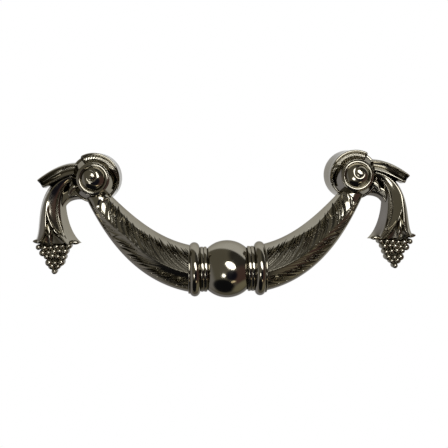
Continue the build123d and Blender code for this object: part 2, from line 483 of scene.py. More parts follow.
@dataclass
class FeatherArm:
    """Horn that swells from its post to its collar, with a feather cut into its round front.

    A span holds the shares of the arm's length, or of a vane's width, between which something comes or goes.
    """

    collar_middle: float
    root_radius: float = 3.3
    end_radius: float = 8.45
    swell: float = 1.6
    root_drop: float = 3.2
    root_outset: float = 1.3
    root_height: float = 15.5
    root_slope: float = 57.0
    end_slope: float = 10.0
    root_reach: float = 19.3
    end_reach: float = 16.0
    edge_rounding: float = 0.5
    feather_start: Span = (0.1, 0.16)
    feather_end: Span = (0.985, 1.0)
    rib_root_angle: float = -30.0
    rib_end_angle: float = -6.0
    rib_settling: Span = (0.08, 0.5)
    rib_rise: float = 0.22
    rib_width: float = 0.05
    rib_fading: Span = (0.6, 0.8)
    upper_angle: float = 60.0
    upper_dip: float = 20.0
    lower_angle: float = -60.0
    dip_place: float = 0.42
    dip_run: float = 0.24
    flank_flatness: float = 0.85
    flank_run: float = 0.32
    root_flatness: float = 0.5
    end_flatness: float = 0.94
    vane_flattening: Span = (0.2, 0.55)
    barb_count: float = 19.0
    barb_depth: float = 0.6
    barb_bow: float = 0.8
    root_lean: float = 0.1
    end_lean: float = 0.55
    unevenness: float = 0.3
    uneven_rate: float = 1.7
    upper_tip: float = 0.98
    lower_tip: float = 0.76
    tip_spread: float = 0.28
    point_length: float = 0.5
    point_softness: float = 0.3
    rib_boldness: float = 0.35
    barb_deepening: Span = (0.0, 0.4)
    least_boldness: float = 0.45
    lower_boldness: float = 0.5
    lower_start: Span = (0.25, 0.42)
    barb_calm: float = 0.88
    barb_calming: Span = (0.5, 0.85)
    hair_count: int = 2
    hair_depth: float = 0.009
    hair_start: Span = (0.3, 0.6)
    hair_parting: Span = (0.02, 0.2)
    hair_calm: float = 0.65
    hair_calming: Span = (0.6, 0.85)
    # Painted shade, with dulling, on the vanes near the collar and along the midrib
    upper_vane_shade_and_dullness: float = 0.75
    lower_vane_shade_and_dullness: float = 0.3
    vane_shading_and_dulling: Span = (0.5, 0.75)
    rib_shade_and_dullness: float = 1.6
    rib_shadow: float = 0.07
    rib_shading_and_dulling: Span = (0.45, 0.65)
    most_shade_and_dullness: float = 1.7
    stations: int = 430
    front_turn: float = 100.0
    front_around: int = 176
    back_around: int = 24

    def path(self, along: Array) -> Array:
        """Middle line of the arm in the front view: a Bezier curve from the post to the collar."""
        root, tip = radians(self.root_slope), radians(self.end_slope)
        start = np.array([POST_X + self.root_outset, -self.root_drop])
        end = np.array([self.collar_middle, -BALL_DROP])
        leave = start - self.root_reach * np.array([np.cos(root), np.sin(root)])
        arrive = end + self.end_reach * np.array([np.cos(tip), np.sin(tip)])
        return bezier([start, leave, arrive, end], along)

    def feather(self, along: Array, turn: Array, radius: Array) -> tuple[Array, Array]:
        """Depth of the feather in millimetres, and how much painted shade and dulling each point of it takes.

        The midrib starts low at the post and comes up to the middle. On each side of it lies a vane that is
        flatter than the round arm: it falls from the circle toward the chord between midrib and edge. Over
        the upper vane the flank falls toward a chord too, most in the middle of the arm. A barb leaves the
        midrib and sweeps back to the post as it nears the edge, so the place where the barb through a point
        left the midrib is that point's place plus the barb's lean, which grows until the barbs lie along the
        arm at the collar. That place, counted in barbs and made uneven by a sine, gives the distance across
        the barb. Each barb is hollowed like a V and runs out to a point, at a length and with a depth of its
        own, and fine hairs run along it as a cosine.

        Args:
            along: Share of the arm's length from the post.
            turn: Angle from the foremost line toward the upper side.
            radius: Radius of the arm.

        Returns:
            The depth, negative where the midrib stands proud, and the painted shade and dulling of the cuts, of
            the vanes near the collar and of a line beside the midrib.
        """
        settled = smooth_step(along, *self.rib_settling)
        rib = blend(radians(self.rib_root_angle), radians(self.rib_end_angle), settled)
        upper = turn > rib
        brow = radians(self.upper_angle) - radians(self.upper_dip) * bump(along, self.dip_place, self.dip_run)
        reach = np.where(upper, brow - rib, rib - radians(self.lower_angle))
        side = np.abs(turn - rib) / reach
        chord = np.cos(reach / 2) / np.cos((np.clip(side, 0, 1) - 0.5) * reach)
        flatness = blend(self.root_flatness, self.end_flatness, smooth_step(along, *self.vane_flattening))
        vane = flatness * radius * (1 - chord)

        lean = blend(self.root_lean, self.end_lean, along**2)
        count = (along + lean * side**self.barb_bow) * self.barb_count
        phase = count + self.unevenness * np.sin(self.uneven_rate * count + 2 * upper)
        number = np.floor(phase)
        chance = scatter(number, upper)
        across = np.abs(2 * (phase - number) - 1)
        tip = np.where(upper, self.upper_tip, self.lower_tip) + self.tip_spread * chance
        inside = smooth_step((tip - side) / self.point_length - across, 0, self.point_softness)
        bold = 1 - self.barb_calm * smooth_step(along, *self.barb_calming)
        bold = bold * np.where(upper, 1, self.lower_boldness * smooth_step(along, *self.lower_start))
        bold = bold * blend(self.rib_boldness, 1, smooth_step(side, *self.barb_deepening))
        groove = (1 - across) * blend(self.least_boldness, 1, chance) * bold
        hairs = np.cos(2 * pi * phase * self.hair_count) * smooth_step(along, *self.hair_start)
        hairs = hairs * (1 - self.hair_calm * smooth_step(along, *self.hair_calming))
        hairs = hairs * smooth_step(side, *self.hair_parting)

        half = (pi / 2 - brow) / 2
        slant = ramp(turn, brow, brow + 2 * half) * 2 * half - half
        flank = self.flank_flatness * radius * (1 - np.cos(half) / np.cos(slant))
        flank = flank * bump(along, self.dip_place, self.flank_run)
        midrib = bump(side, 0, self.rib_width) * (1 - smooth_step(along, *self.rib_fading))
        depth = inside * (vane + self.barb_depth * groove + self.hair_depth * hairs)
        depth = depth - self.rib_rise * midrib + np.where(turn < pi / 2, flank, 0)

        # Painted shade: the barb cuts, the vanes near the collar and a line beside the midrib are darkened and
        # made duller
        dull = np.where(upper, self.upper_vane_shade_and_dullness, self.lower_vane_shade_and_dullness)
        dull = dull * smooth_step(along, *self.vane_shading_and_dulling)
        shadow = bump(side, 0, self.rib_shadow) * smooth_step(along, *self.rib_shading_and_dulling)
        dull = dull + self.rib_shade_and_dullness * shadow
        dull = np.clip(groove + dull, 0, self.most_shade_and_dullness)
        kept = smooth_step(along, *self.feather_start) * (1 - smooth_step(along, *self.feather_end))
        return depth * kept, inside * dull * kept

    def shell(self) -> Shell:
        """Carries the round-fronted section along the path and takes the feather off its radius."""
        along = np.linspace(0, 1, self.stations)
        middle = self.path(along)
        heading = np.gradient(middle, along, axis=0)
        heading = heading / np.linalg.norm(heading, axis=1, keepdims=True)
        upper = np.stack([heading[:, 1], -heading[:, 0]], axis=-1)
        radius = blend(self.root_radius, self.end_radius, 1 - (1 - along) ** self.swell)[:, None]
        height = blend(self.root_height, BALL_HEIGHT, (1 - np.cos(along * pi)) / 2)
        fine = radians(self.front_turn)
        front = np.linspace(-fine, fine, self.front_around)
        back = np.linspace(fine, 2 * pi - fine, self.back_around)[1:-1]
        turn = np.concatenate([front, back])
        facing = np.where(turn > pi, turn - 2 * pi, turn)
        depth, dull = self.feather(along[:, None], facing[None, :], radius)
        aside, forward = d_section(radius - depth, turn, radius * BACK_SHARE, self.edge_rounding)
        plan = middle[:, None, :] + aside[..., None] * upper[:, None, :]
        rings = np.concatenate([plan, (forward + height[:, None])[..., None]], axis=-1)
        return Shell.tube(rings, GROOVE_PAINTED_SHADE * dull)

    def build(self, foundry: Foundry) -> None:
        """Casts one arm on each side."""
        foundry.cast_pair("feather_arm", self.shell())


@dataclass
class ScrollPost:
    """Round post with a threaded screw hole behind and a snail scroll in front, under a crescent hood."""

    hole_radius: float = 1.65
    hole_depth: float = 12.0
    hole_pole: float = 0.05
    mouth_chamfer: float = 0.4
    thread_pitch: float = 0.7
    thread_depth: float = 0.35
    thread_runout: float = 1.0
    foot_radius: float = 9.38
    post_radius: float = 8.95
    post_height: float = 15.0
    edge_radius: float = 0.5
    boss_radius: float = 5.95
    boss_flare: float = 2.3
    ring_foot: float = 21.7
    ring_radius: float = 5.0
    ring_width: float = 1.6
    ring_rise: float = 0.42
    dome_radius: float = 4.3
    dome_rise: float = 1.9
    dome_fullness: float = 0.75
    dome_pole: float = 0.03
    dome_rings: int = 96
    eye: tuple[float, float] = (1.0, 0.75)
    coil_start: float = 4.9
    coil_start_angle: float = 270.0
    coil_shrink: float = 3.3
    coil_depth: float = 0.6
    coil_sharpness: float = 1.4
    coil_fading: Span = (0.7, 1.9)
    around: int = 168
    hood_radius: float = 9.38
    hood_foot: float = 13.5
    hood_height: float = 18.6
    hood_wall: float = 1.5
    hood_full_width: float = 2.6
    hood_least_width: float = 0.05
    hood_least_size: float = 0.02
    hood_shift: float = 2.2
    hood_shift_angle: float = 255.0
    hood_start: float = 56.0
    hood_end: float = 212.0
    hood_tip: float = 9.0
    hood_bluntness: float = 0.97
    hood_sink: float = 3.2
    hood_sink_start: float = 145.0
    hood_inner_run: float = 1.4
    gutter_depth: float = 0.4
    gutter_slope: float = 10.0
    gutter_fall: float = 0.28
    gutter_foot: float = 0.25
    gutter_shadow: float = 0.16
    gutter_shadow_width: float = 0.08
    rim_radius: float = 0.42
    lip_radius: float = 0.3
    rib_pitch: float = 1.15
    rib_depth: float = 0.05
    rib_slant: float = 1.6
    hood_stations: int = 300

    def outline(self) -> Array:
        """Radius and height from the bottom of the hole, out over the post and in to the foot of the dome."""
        edge = self.edge_radius
        flare = self.boss_radius + self.boss_flare
        mouth = self.hole_radius + self.mouth_chamfer
        ring = np.linspace(0, pi, 18, endpoint=False)
        ring_start = self.ring_radius + self.ring_width / 2
        crest = np.stack(
            [ring_start - self.ring_width * ring / pi, self.ring_foot + self.ring_rise * np.sin(ring)], axis=-1
        )
        round_off = self.boss_radius - ring_start
        return np.concatenate([
            stretch((self.hole_pole, self.hole_depth), (self.hole_radius, self.hole_depth), 5),
            stretch((self.hole_radius, self.hole_depth), (self.hole_radius, self.mouth_chamfer), 130),
            stretch((self.hole_radius, self.mouth_chamfer), (mouth, 0), 4),
            stretch((mouth, 0), (self.foot_radius - edge, 0), 6),
            corner((self.foot_radius - edge, edge), edge, -90, 0, 6),
            stretch((self.foot_radius, edge), (self.post_radius, self.post_height - edge), 10),
            corner((self.post_radius - edge, self.post_height - edge), edge, 0, 90, 6),
            stretch((self.post_radius - edge, self.post_height), (flare, self.post_height), 6),
            stretch((flare, self.post_height), (self.boss_radius, self.ring_foot - round_off), 12),
            corner((self.boss_radius - round_off, self.ring_foot - round_off), round_off, 0, 90, 8),
            crest,
        ])

    def snail(self, radius: Array, angle: Array) -> tuple[Array, Array]:
        """Height of the snail over its foot, and how deep each point lies in the groove between its coils.

        The dome falls with a power of 1 - (r / R)², its top pulled toward the eye. The coils are a spiral
        about the eye that shrinks by the same factor in each turn, so the logarithm of start over distance,
        less the angle's share of a turn, counts the coils inward. The fraction of that count is the share of
        the way across a coil, whose back is a half ellipse.

        Args:
            radius: Distance from the screw axis.
            angle: Angle round the screw axis.

        Returns:
            The height and the share of the groove's depth, for each point.
        """
        across, up = radius * np.cos(angle), radius * np.sin(angle)
        pull = 1 - radius / self.dome_radius
        from_eye, over_eye = across - self.eye[0], up - self.eye[1]
        reach = np.hypot(from_eye, over_eye) + TINY
        turned = np.mod(np.arctan2(over_eye, from_eye) - radians(self.coil_start_angle), 2 * pi)
        coils = np.log(self.coil_start / reach) / log(self.coil_shrink) - turned / (2 * pi)
        share = np.mod(coils, 1)
        groove = (1 - np.sqrt(4 * share * (1 - share))) ** self.coil_sharpness
        groove = groove * smooth_step(reach, *self.coil_fading)
        out = np.hypot(across - self.eye[0] * pull, up - self.eye[1] * pull) / self.dome_radius
        dome = self.dome_rise * np.clip(1 - out**2, 0, 1) ** self.dome_fullness
        return dome - self.coil_depth * groove, groove

    def post(self) -> Shell:
        """Turns the outline about the screw axis, with a thread in the hole and the snail on the boss."""
        angle = np.linspace(0, 2 * pi, self.around, endpoint=False)
        radius, height = self.outline().T
        in_hole = np.isclose(radius, self.hole_radius) & (height < self.hole_depth - self.thread_runout)
        in_hole = in_hole & (height > self.mouth_chamfer)
        turns = np.mod(height[:, None] / self.thread_pitch - angle / (2 * pi), 1)
        thread = self.thread_depth * (1 - np.abs(2 * turns - 1)) * in_hole[:, None]
        spread = np.linspace(self.dome_radius, self.dome_pole, self.dome_rings)[:, None]
        rise, groove = self.snail(spread, angle)
        radii = np.concatenate([radius[:, None] + thread, np.broadcast_to(spread, rise.shape)])
        heights = np.concatenate([np.broadcast_to(height[:, None], thread.shape), self.ring_foot + rise])
        rings = np.stack([POST_X + radii * np.cos(angle), radii * np.sin(angle), heights], axis=-1)
        # Painted shade: the groove between the snail's coils is darkened
        return Shell.tube(rings, np.concatenate([np.zeros_like(thread), GROOVE_PAINTED_SHADE * groove**2]))

    def hood(self) -> Shell:
        """Crescent gutter: a section with a rim, a gutter and a lip, carried round the boss.

        The crescent lies between the outer circle and a smaller one whose middle is shifted, so its width at
        an angle is the outer radius less the distance to the shifted circle along that angle. The gutter
        drops steeply inside the rim and then rises gently to the lip, with a cosine along the arc as slanting
        ribs. The crescent sinks to the post at its narrow end and closes bluntly at its broad one.
        """
        degrees = np.linspace(self.hood_start, self.hood_end, self.hood_stations)
        angle = np.radians(degrees)[:, None]
        toward = angle - radians(self.hood_shift_angle)
        inner_circle = self.hood_radius - self.hood_wall
        inner = self.hood_shift * np.cos(toward)
        inner = inner + np.sqrt(inner_circle**2 - (self.hood_shift * np.sin(toward)) ** 2)
        width = np.maximum(self.hood_radius - inner, self.hood_least_width)
        size = np.clip(width / self.hood_full_width, self.hood_least_size, 1)
        rim, lip, run = self.rim_radius * size, self.lip_radius * size, self.hood_inner_run * size**2
        half_turn = np.linspace(0, pi, 9)
        share = np.linspace(0, 1, 24)
        wall = np.linspace(0, 1, 7)
        sink = self.hood_sink * smooth_step(degrees[:, None], self.hood_sink_start, self.hood_end)
        top = self.hood_height - sink - rim
        floor_width = width - 2 * rim - 2 * lip
        rise = tan(radians(self.gutter_slope)) * floor_width * np.clip(share - self.gutter_foot, 0, 1)
        drop = self.gutter_depth * size * smooth_step(share, 0, self.gutter_fall) - rise
        wave = np.cos(2 * pi * self.hood_radius * angle / self.rib_pitch + self.rib_slant * 2 * pi * share)
        drop = drop + self.rib_depth * size * wave * np.sin(pi * share) ** 0.5
        lip_foot = top - drop[:, -1:]
        foot = np.full_like(width, self.hood_foot)
        sections = [
            (np.broadcast_to(self.hood_radius, (len(angle), len(wall))), blend(foot, top, wall)),
            (self.hood_radius - rim + rim * np.cos(half_turn), top + rim * np.sin(half_turn)),
            (self.hood_radius - 2 * rim - floor_width * share, top - drop),
            (inner + lip + lip * np.cos(half_turn), lip_foot + lip * np.sin(half_turn)),
            (inner - wall * run, blend(lip_foot, self.post_height, wall)),
            (inner - run, foot),
        ]
        out = np.concatenate([part[0] for part in sections], axis=1)
        height = np.concatenate([part[1] for part in sections], axis=1)
        shade = np.zeros_like(out)
        first = len(wall) + len(half_turn)
        shadow = bump(share, self.gutter_shadow, self.gutter_shadow_width)
        shade[:, first:first + len(share)] = GROOVE_PAINTED_SHADE * shadow
        tip = ramp(degrees[:, None], self.hood_start, self.hood_start + self.hood_tip)
        blunt = np.sqrt(1 - self.hood_bluntness * (1 - tip) ** 2)
        out = blend(self.hood_radius - width / 2, out, blunt)
        height = blend(self.hood_foot, height, blunt)
        rings = np.stack([POST_X + out * np.cos(angle), out * np.sin(angle), height], axis=-1)
        return Shell.tube(rings, shade)

    def build(self, foundry: Foundry) -> None:
        """Casts a post with its hood on each side."""
        foundry.cast_pair("scroll_post", Shell.joined([self.post(), self.hood()]))


def band(
    inner: Array,
    outer: Array,
    front: Array,
    walls: tuple[Array, Array],
    rounding: float,
    painted_shade_and_dulling: Array,
) -> Shell:
    """Strip between two edges: walls that lean in, a shaped front and a flat back.

    Near a wall the front falls by the rounding's radius r along a quarter circle, r - sqrt(r² - (r - d)²) at
    the distance d.

    Args:
        inner: Inner edge in the front view, one point for each station.
        outer: Outer edge in the front view.
        front: Height of the front for each station, from the inner to the outer wall.
        walls: How far the inner and the outer wall lean in, as shares of the width at each station.
        rounding: Radius of the edge between wall and front.
        painted_shade_and_dulling: How much painted shade and dulling each point of the front takes.

    Returns:
        The closed strip.
    """
    across = outer - inner
    width = np.linalg.norm(across, axis=1)[:, None]
    low, high = walls[0][:, None], 1 - walls[1][:, None]
    share = blend(low, high, np.linspace(0, 1, front.shape[1]))
    distance = np.minimum(share - low, high - share) * width
    missing = np.clip(1 - distance / rounding, 0, 1)
    front = front - rounding * (1 - np.sqrt(1 - missing**2))
    rise = np.linspace(0, 1, 8, endpoint=False)
    shares = np.concatenate([low * rise, share, 1 - (1 - high) * rise[::-1]], axis=1)
    heights = np.concatenate([
        blend(LEAF_BACK, front[:, :1], rise),
        front,
        blend(LEAF_BACK, front[:, -1:], rise[::-1]),
    ], axis=1)
    plan = inner[:, None, :] + across[:, None, :] * shares[..., None]
    plain = np.zeros((len(front), len(rise)))
    depth = np.concatenate([plain, painted_shade_and_dulling, plain], axis=1)
    return Shell.tube(np.concatenate([plan, heights[..., None]], axis=-1), depth)


def spindle(path: Array, height: Array, radius: Array, ridge: float, around: int = 36) -> Shell:
    """Bud or lobe: a section carried along a path, its front drawn out into a ridge.

    Args:
        path: Middle line in the front view.
        height: Height of the middle line over the drawer front.
        radius: Radius at each station.
        ridge: How much further than round the front reaches, as a share of the radius.
        around: Points round the section.

    Returns:
        The closed surface.
    """
    heading = np.gradient(path, axis=0)
    heading = heading / np.linalg.norm(heading, axis=1, keepdims=True)
    aside = np.stack([-heading[:, 1], heading[:, 0]], axis=-1)
    turn = np.linspace(0, 2 * pi, around, endpoint=False)
    crest = 1 + ridge * np.clip(np.cos(turn), 0, 1) ** 6
    reach = radius[:, None] * crest
    plan = path[:, None, :] + (reach * np.sin(turn))[..., None] * aside[:, None, :]
    level = height[:, None] + reach * np.cos(turn)
    return Shell.tube(np.concatenate([plan, level[..., None]], axis=-1))


@dataclass
class Leaves:
    """Short and long leaf on the outer side of a post, with the web, lobe and bud between them.

    A span holds the shares of a leaf's length or width between which something comes or goes.
    """

    leaf_drop: float = 24.0
    edge: float = 13.2
    shoulder: float = 15.3
    crest: float = 18.2
    crest_climb: float = 1.6
    crest_climbing: Span = (0.1, 0.8)
    crest_rounding: float = 0.7
    crest_start: float = 0.5
    crest_sway: float = 0.22
    outer_fullness: float = 3.0
    bulge: float = 0.12
    flare: float = 2.0
    draft: float = 0.8
    wall_share: float = 0.18
    rounding: float = 0.45
    vein_place: float = 0.33
    vein_width: float = 0.05
    vein_depth: float = 0.3
    vein_start: Span = (0.14, 0.26)
    vein_end: Span = (0.8, 0.95)
    fold_place: float = 0.2
    fold_width: float = 0.07
    fold_rise: float = 0.12
    part_start: float = 0.6
    part_bow: float = 1.5
    part_inner: float = 0.12
    part_outer: float = 0.88
    part_depth: float = 2.2
    part_steepness: float = 0.9
    part_fullness: float = 0.6
    part_shade: float = 0.6
    rim_rise: float = 0.3
    rim_offset: float = 0.03
    rim_inner_width: float = 0.06
    rim_outer_width: float = 0.05
    rim_lead: float = 0.1
    stations: int = 150
    columns: int = 80
    short_upper: Points = ((4.5, 5.6), (9.5, 6.8), (15, 4.6), (21.1, 0))
    short_lower: Points = ((4.5, 1.4), (9.5, 1.4), (14, -1.3), (18.4, -3.4))
    short_edge: float = 16.8
    short_fall: float = 1.5
    short_slope: Span = (0.15, 0.51)
    short_rim: float = 0.7
    short_rim_place: float = 0.87
    short_rim_width: float = 0.12
    short_hollow: float = 1.1
    short_hollow_width: float = 0.22
    short_hollowing: Span = (0.4, 0.85)
    short_vein_place: float = 0.6
    short_vein_width: float = 0.07
    short_tip_fall: float = 0.6
    short_tip: Span = (0.93, 1.0)
    short_draft: float = 0.35
    short_rounding: float = 0.5
    short_stations: int = 90
    web_upper: Points = ((-1.8, -0.5), (5, -0.5), (13, -4.5))
    web_lower: Points = (
        (0.2, -11.2), (1.6, -8.6), (3.2, -7.5), (6, -7.4), (9, -7.5), (10.4, -8.6), (11.6, -11.2)
    )
    web_height: float = 13.6
    web_draft: float = 0.9
    web_rounding: float = 1.0
    lobe_path: Points = ((4.5, -1.9), (7, -2.2), (9.2, -3.9), (9.2, -6.4))
    lobe_radius: float = 1.8
    lobe_lift: float = 1.7
    lobe_climb: float = 2.0
    lobe_ridge: float = 0.15
    bud_path: Points = ((17.2, -14.6), (16.8, -19), (16.0, -24.6))
    bud_radius: float = 1.3
    bud_height: float = 15.5
    bud_fullness: float = 0.7
    bud_ridge: float = 0.45
    curl_radius: float = 0.85
    curl_fullness: float = 0.5
    inner_curl: Points = ((4.0, 0.9), (0.3, 0.5))
    outer_curl: Points = ((-4.0, 0.3), (-0.1, 0.4))
    back_step: float = 0.06

    @property
    def long_outer(self) -> Points:
        """Control points of the long leaf's outer edge, outward and up from the boss."""
        turn = 4.5 - self.leaf_drop
        return (5, 2.4), (14, 2.6), (21.5, -2.5), (21.6, -13), (20.4, turn), (22.95, 0.9 - self.leaf_drop)

    @property
    def long_inner(self) -> Points:
        """Control points of the long leaf's inner edge."""
        turn = 4.5 - self.leaf_drop
        return (5, -1), (10, -1), (12.8, -4), (11.2, -12), (10.8, turn), (5.6, -self.leaf_drop)

    def long_leaf(self) -> Shell:
        """Leaf whose bulging inner face and steeper outer face meet in a crest that parts in two near the hem.

        The inner face rises from its shoulder to the crest with a parabola on top, and the outer face falls
        to its edge with a power of the share of the way. The lower of the two is the front, with the crest
        rounded between them, and a vein and a fold run along the inner face as bell curves. Near the hem the
        crest is two lines that move apart. Between these the front sinks like half a sine, as deep as the
        opening is wide, and each line carries a thin rim.
        """
        along = np.linspace(0, 1, self.stations)
        inner, outer = bezier(self.long_inner, along), bezier(self.long_outer, along)
        width = np.linalg.norm(outer - inner, axis=1)
        walls = np.full_like(width, self.wall_share), self.draft / width
        t = along[:, None]
        low, high = walls[0][:, None], 1 - walls[1][:, None]
        place = np.linspace(0, 1, self.columns)[None, :]
        edge = self.edge + self.flare * t**4
        crest = self.crest - self.crest_climb * (1 - ramp(t, *self.crest_climbing))
        middle = (self.crest_start + self.crest_sway * np.sin(pi * t) - low) / (high - low)
        apart = ramp(t, self.part_start, 1) ** self.part_bow
        left, right = blend(middle, self.part_inner, apart), blend(middle, self.part_outer, apart)
        up, down = place / left, ramp(place, right, 1)
        inner_face = blend(self.shoulder, crest, up) + 4 * self.bulge * up * (1 - up)
        outer_face = blend(crest, edge, down**self.outer_fullness)
        front = -soft_max(-inner_face, -outer_face, self.crest_rounding)

        lines = smooth_step(t, *self.vein_start) * (1 - smooth_step(t, *self.vein_end))
        vein = bump(up, self.vein_place, self.vein_width) * lines
        fold = bump(up, self.fold_place, self.fold_width) * lines
        gap = (right - left) * (high - low) * width[:, None]
        between = ramp(place, left, np.maximum(right, left + TINY))
        sunk = np.minimum(self.part_steepness * gap, self.part_depth)
        sunk = sunk * np.sin(pi * between) ** self.part_fullness
        rim = bump(place, left - self.rim_offset, self.rim_inner_width)
        rim = rim + bump(place, right + self.rim_offset, self.rim_outer_width)
        rim = rim * smooth_step(t, self.part_start - self.rim_lead, self.part_start + self.rim_lead)
        front = front - self.vein_depth * vein + self.fold_rise * fold - sunk + self.rim_rise * rim
        # Painted shade: the vein and the sunk parting between the petals are darkened
        shade = GROOVE_PAINTED_SHADE * vein + self.part_shade * sunk / self.part_depth
        return band(inner, outer, front, walls, self.rounding, shade)

    def short_leaf(self) -> Shell:
        """Leaf whose lower ridge falls to a groove under the upper rim; the groove is hollowed toward the tip.

        The ridge falls along a straight slope, and the rim and the hollow are bell curves across the leaf.
        """
        along = np.linspace(0, 1, self.short_stations)
        lower, upper = bezier(self.short_lower, along), bezier(self.short_upper, along)
        t, place = along[:, None], np.linspace(0, 1, self.columns)[None, :]
        fall = self.short_fall * ramp(place, *self.short_slope)
        hollow = smooth_step(t, *self.short_hollowing) * bump(place, 0.5, self.short_hollow_width)
        rim = bump(place, self.short_rim_place, self.short_rim_width)
        front = self.short_edge - fall - self.short_hollow * hollow + self.short_rim * rim
        front = front - self.short_tip_fall * smooth_step(t, *self.short_tip)
        lean = self.short_draft / np.linalg.norm(upper - lower, axis=1)
        # Painted shade: the groove and the hollow toward the tip are darkened
        shade = GROOVE_PAINTED_SHADE * (bump(place, self.short_vein_place, self.short_vein_width) + hollow)
        return band(lower, upper, front, (lean, lean), self.short_rounding, shade)

    def web(self) -> Shell:
        """Plate in the pocket between post, arm and leaf, arched on its lower edge."""
        along = np.linspace(0, 1, 60)
        lower, upper = bezier(self.web_lower, along), bezier(self.web_upper, along)
        front = np.full((len(along), 24), self.web_height)
        lean = self.web_draft / np.linalg.norm(upper - lower, axis=1)
        return band(lower, upper, front, (lean, lean), self.web_rounding, np.zeros_like(front))

    def lobe(self) -> Shell:
        """Small horn that curls down in the pocket: the root of 1 - t, swollen by half a sine."""
        along = np.linspace(0, 1, 40)
        radius = self.lobe_radius * np.sqrt(np.clip(1.02 - along, 0, 1)) * (0.75 + 0.25 * np.sin(pi * along))
        height = self.web_height + self.lobe_lift + self.lobe_climb * (along - 0.5)
        return spindle(bezier(self.lobe_path, along), height, radius, self.lobe_ridge)

    def bud(self) -> Shell:
        """Closed bud with a ridge, between the long leaf's petals: its radius is a power of half a sine."""
        along = np.linspace(0, 1, 48)
        radius = self.bud_radius * np.sin(pi * np.clip(along, 0.01, 0.99)) ** self.bud_fullness
        height = np.full_like(along, self.bud_height)
        return spindle(bezier(self.bud_path, along), height, radius, self.bud_ridge)

    def curls(self) -> list[Shell]:
        """Rolled tips of the two petals, each a short spindle across the petal's corner."""
        along = np.linspace(0, 1, 24)
        radius = self.curl_radius * np.sin(pi * np.clip(along, 0.02, 0.98)) ** self.curl_fullness
        height = np.full_like(along, self.edge + self.flare)
        corners = (self.long_inner[-1], self.inner_curl), (self.long_outer[-1], self.outer_curl)
        return [spindle(bezier(np.add(tip, line), along), height, radius, 0.0, 28) for tip, line in corners]

    def build(self, foundry: Foundry) -> None:
        """Casts the leaves of each side as one piece."""
        short_leaf = self.short_leaf().moved((0, 0, self.back_step))
        web = self.web().moved((0, 0, 2 * self.back_step))
        parts = [self.long_leaf(), short_leaf, web, self.lobe(), self.bud(), *self.curls()]
        foundry.cast_pair("leaves", Shell.joined(parts).moved((POST_X, 0, 0)))


@dataclass
class BeadCluster:
    """Cluster of round beads under the long leaf, one fewer in each row, no two quite alike."""

    bead_radius: float = 1.2
    bead_rise: float = 1.15
    pitch: float = 2.15
    rows: int = 6
    centre: float = 15.4
    drop: float = 25.0
    bulge: float = 1.2
    height: float = 12.6
    stem_foot: float = 10.0
    core_inset: float = 0.12
    core_margin: float = 0.4
    core_draft: float = 0.05
    core_rounding: float = 0.2
    sway: float = 0.32
    sway_rates: tuple[float, float, float] = (12.9, 7.3, 5.1)
    growth: float = 0.15
    growth_rate: float = 9.7
    cap_share: float = 0.97
    foot_shade: float = 0.3
    foot_shade_end: float = 0.5
    around: int = 26

    @property
    def row_drop(self) -> float:
        """Distance from one row to the next, as in a close packing of circles."""
        return self.pitch * np.cos(pi / 6)

    @property
    def half_top(self) -> float:
        """Half the distance between the outermost beads of the top row."""
        return self.pitch * (self.rows - 1) / 2

    def bead(self) -> Shell:
        """Straight stem with a round cap, turned about its own axis, the cap's foot at the origin."""
        tilt = np.linspace(0, self.cap_share * pi / 2, 12)
        radius = np.concatenate([[self.bead_radius], self.bead_radius * np.cos(tilt)])
        height = np.concatenate([[self.stem_foot - self.height], self.bead_rise * np.sin(tilt)])
        angle = np.linspace(0, 2 * pi, self.around, endpoint=False)
        level = np.broadcast_to(height[:, None], (len(height), self.around))
        rings = np.stack([radius[:, None] * np.cos(angle), radius[:, None] * np.sin(angle), level], axis=-1)
        # Painted shade: each bead's stem and the foot of its cap are darkened, fading out up the cap
        shade = np.concatenate([[1.0], 1 - smooth_step(tilt, 0.0, self.foot_shade_end)])
        return Shell.tube(rings, np.broadcast_to(self.foot_shade * shade[:, None], level.shape))

    def beads(self) -> Shell:
        """The bead at every place, with all stems ending at the same height inside the core.

        Places follow a close packing of circles on a bulging front. Sines of the bead's number move each bead
        a little and make it larger or smaller.
        """
        bead = self.bead()
        row = np.repeat(np.arange(self.rows), np.arange(self.rows, 0, -1))
        number = np.arange(len(row))
        first = np.concatenate([[0], np.cumsum(np.arange(self.rows, 0, -1))[:-1]])
        aside = (number - first[row] - (self.rows - 1 - row) / 2) * self.pitch
        lift = self.bulge * np.cos(aside / self.half_top) * np.cos(row / self.rows)
        level = -self.drop - row * self.row_drop
        places = np.stack([self.centre + aside, level, self.height + lift], axis=-1)
        # Each direction has its own rate and phase, and beads move twice as far in and out as aside
        shake = np.sin(np.outer(number, self.sway_rates) + np.arange(3))
        places = places + self.sway * shake * (1, 1, 2)
        size = 1 + self.growth * np.sin(self.growth_rate * number)
        points = bead.points[None, :, :] * size[:, None, None] + places[:, None, :]
        points[:, np.isclose(bead.points[:, 2], self.stem_foot - self.height), 2] = self.stem_foot
        starts = len(bead.points) * number[:, None, None]
        return Shell(
            points.reshape(-1, 3),
            np.tile(bead.painted_shade_and_dulling, len(number)),
            (bead.quads[None] + starts).reshape(-1, 4),
            (bead.triangles[None] + starts).reshape(-1, 3),
        )

    def core(self) -> Shell:
        """Tapered body behind the beads, from under the leaf to the lowest bead, wholly darkened as painted
        shade in the gaps.
        """
        shoulder = 2 * self.pitch - self.drop
        tip = -self.drop - self.row_drop * (self.rows - 1)
        level = np.linspace(shoulder, tip, 40)
        taper = (level - tip + self.core_margin) / (-self.drop - tip)
        half = self.half_top * np.minimum(1, taper)
        left = np.stack([self.centre - half, level], axis=-1)
        right = np.stack([self.centre + half, level], axis=-1)
        front = np.full((len(level), 12), self.height + self.core_margin)
        lean = self.core_draft / half
        # Painted shade: the whole core takes the dark tone
        return band(left, right, front, (lean, lean), self.core_rounding, np.ones_like(front))

    def build(self, foundry: Foundry) -> None:
        """Casts one cluster on each side."""
        core = self.core().moved((0, 0, self.core_inset))
        foundry.cast_pair("bead_cluster", Shell.joined([self.beads(), core]).moved((POST_X, 0, 0)))


